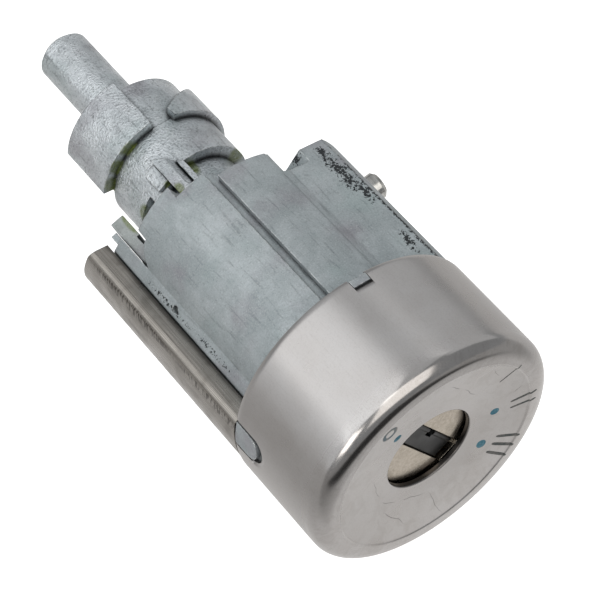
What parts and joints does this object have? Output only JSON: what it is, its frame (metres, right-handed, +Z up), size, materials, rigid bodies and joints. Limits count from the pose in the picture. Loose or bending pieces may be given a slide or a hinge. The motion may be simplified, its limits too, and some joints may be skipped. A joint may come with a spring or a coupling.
{
  "type": "ignition lock cylinder",
  "caption": "Round-capped ignition lock cylinder: stainless cap with key slot, zinc barrel with ribs and spring pin, and a rear driver with stepped cams and a round tail.",
  "frame": {"origin": "on the lock axis, in the plane of the cap's rear rim", "axes": "+Y along the lock axis from the key side to the tail shaft, +Z up so that the rim notch is on top and the retaining pin on the right (+X), seen from the key side"},
  "size_m": [0.0393, 0.0887, 0.038],
  "materials": {
    "stainless": "satin pressed stainless sheet",
    "zinc_housing": "raw zinc die casting, mottled",
    "zinc_driver": "raw zinc die casting, greasy",
    "zinc_slider": "raw zinc die casting",
    "bar_steel": "drawn steel strip, oiled",
    "nickel_plug": "nickel-plated brass",
    "nickel_pin": "nickel-plated steel",
    "plunger_steel": "polished bearing steel",
    "pin_steel": "ground steel",
    "clip_steel": "spring steel, phosphated",
    "black_steel": "blackened steel",
    "spring_steel": "spring wire",
    "black_spring": "blackened spring wire",
    "black_plastic": "matt black",
    "brass_wafer": "stamped brass",
    "brass_sidebar": "drawn brass"
  },
  "bodies": {
    "lock_body": {"housing": "zinc_housing", "front_cap": "stainless", "steel_bar": "bar_steel", "slider_spring": "spring_steel", "detent_spring": "spring_steel", "detent_grub_screw": "black_steel", "retaining_pin_spring": "spring_steel"},
    "rotor": {"plug": "nickel_plug", "driver": "zinc_driver", "cross_pin": "pin_steel", "retaining_clip": "clip_steel", "shutter_pin": "pin_steel", "shutter_spring": "black_spring", "sidebar_spring_1": "spring_steel", "sidebar_spring_2": "spring_steel", "wafer_spring_1": "spring_steel", "wafer_spring_2": "spring_steel", "wafer_spring_3": "spring_steel", "wafer_spring_4": "spring_steel", "wafer_spring_5": "spring_steel", "wafer_spring_6": "spring_steel", "wafer_spring_7": "spring_steel", "wafer_spring_8": "spring_steel"},
    "shutter": {"shutter_flap": "black_plastic"},
    "side_bar": {"sidebar": "brass_sidebar"},
    "plunger": {"detent_plunger": "plunger_steel"},
    "catch_pin": {"retaining_pin": "nickel_pin"},
    "slide_piece": {"slider": "zinc_slider"},
    "tumbler_1": {"wafer_1": "brass_wafer"},
    "tumbler_2": {"wafer_2": "brass_wafer"},
    "tumbler_3": {"wafer_3": "brass_wafer"},
    "tumbler_4": {"wafer_4": "brass_wafer"},
    "tumbler_5": {"wafer_5": "brass_wafer"},
    "tumbler_6": {"wafer_6": "brass_wafer"},
    "tumbler_7": {"wafer_7": "brass_wafer"},
    "tumbler_8": {"wafer_8": "brass_wafer"}
  },
  "joints": [
    {"name": "key_turn", "type": "hinge", "parent": "lock_body", "child": "rotor", "pos_m": [0, 0.03, 0], "axis": [0, 1, 0], "range_deg": [0, 158]},
    {"name": "shutter_swing", "type": "hinge", "parent": "rotor", "child": "shutter", "pos_m": [0.00143, -0.01475, 0.001], "axis": [0.5736, 0, -0.8192], "range_deg": [0, 85], "stiffness_Nm_per_rad": 0.002, "springref_deg": -28.65, "deforming": ["shutter_spring"]},
    {"name": "sidebar_slide", "type": "slide", "parent": "rotor", "child": "side_bar", "axis": [-0.8192, 0, -0.5736], "range_m": [0, 0.0008], "deforming": ["sidebar_spring_1", "sidebar_spring_2"]},
    {"name": "plunger_click", "type": "slide", "parent": "lock_body", "child": "plunger", "axis": [0.342, 0, 0.9397], "range_m": [0, 0.0003], "deforming": ["detent_spring"]},
    {"name": "catch_pin_press", "type": "slide", "parent": "lock_body", "child": "catch_pin", "axis": [-0.9781, 0, -0.2079], "range_m": [0, 0.0019], "stiffness_N_per_m": 800, "springref_m": -0.003, "deforming": ["retaining_pin_spring"]},
    {"name": "slider_push", "type": "slide", "parent": "lock_body", "child": "slide_piece", "axis": [0, -1, 0], "range_m": [0, 0.003], "stiffness_N_per_m": 200, "springref_m": -0.004, "deforming": ["slider_spring"]},
    {"name": "wafer_1_lift", "type": "slide", "parent": "rotor", "child": "tumbler_1", "axis": [-0.5736, 0, 0.8192], "range_m": [0, 0.0012], "stiffness_N_per_m": 150, "springref_m": -0.002, "deforming": ["wafer_spring_1"]},
    {"name": "wafer_2_lift", "type": "slide", "parent": "rotor", "child": "tumbler_2", "axis": [-0.5736, 0, 0.8192], "range_m": [0, 0.0012], "stiffness_N_per_m": 150, "springref_m": -0.002, "deforming": ["wafer_spring_2"]},
    {"name": "wafer_3_lift", "type": "slide", "parent": "rotor", "child": "tumbler_3", "axis": [-0.5736, 0, 0.8192], "range_m": [0, 0.0012], "stiffness_N_per_m": 150, "springref_m": -0.002, "deforming": ["wafer_spring_3"]},
    {"name": "wafer_4_lift", "type": "slide", "parent": "rotor", "child": "tumbler_4", "axis": [-0.5736, 0, 0.8192], "range_m": [0, 0.0012], "stiffness_N_per_m": 150, "springref_m": -0.002, "deforming": ["wafer_spring_4"]},
    {"name": "wafer_5_lift", "type": "slide", "parent": "rotor", "child": "tumbler_5", "axis": [-0.5736, 0, 0.8192], "range_m": [0, 0.0012], "stiffness_N_per_m": 150, "springref_m": -0.002, "deforming": ["wafer_spring_5"]},
    {"name": "wafer_6_lift", "type": "slide", "parent": "rotor", "child": "tumbler_6", "axis": [-0.5736, 0, 0.8192], "range_m": [0, 0.0012], "stiffness_N_per_m": 150, "springref_m": -0.002, "deforming": ["wafer_spring_6"]},
    {"name": "wafer_7_lift", "type": "slide", "parent": "rotor", "child": "tumbler_7", "axis": [-0.5736, 0, 0.8192], "range_m": [0, 0.0012], "stiffness_N_per_m": 150, "springref_m": -0.002, "deforming": ["wafer_spring_7"]},
    {"name": "wafer_8_lift", "type": "slide", "parent": "rotor", "child": "tumbler_8", "axis": [-0.5736, 0, 0.8192], "range_m": [0, 0.0012], "stiffness_N_per_m": 150, "springref_m": -0.002, "deforming": ["wafer_spring_8"]}
  ]
}
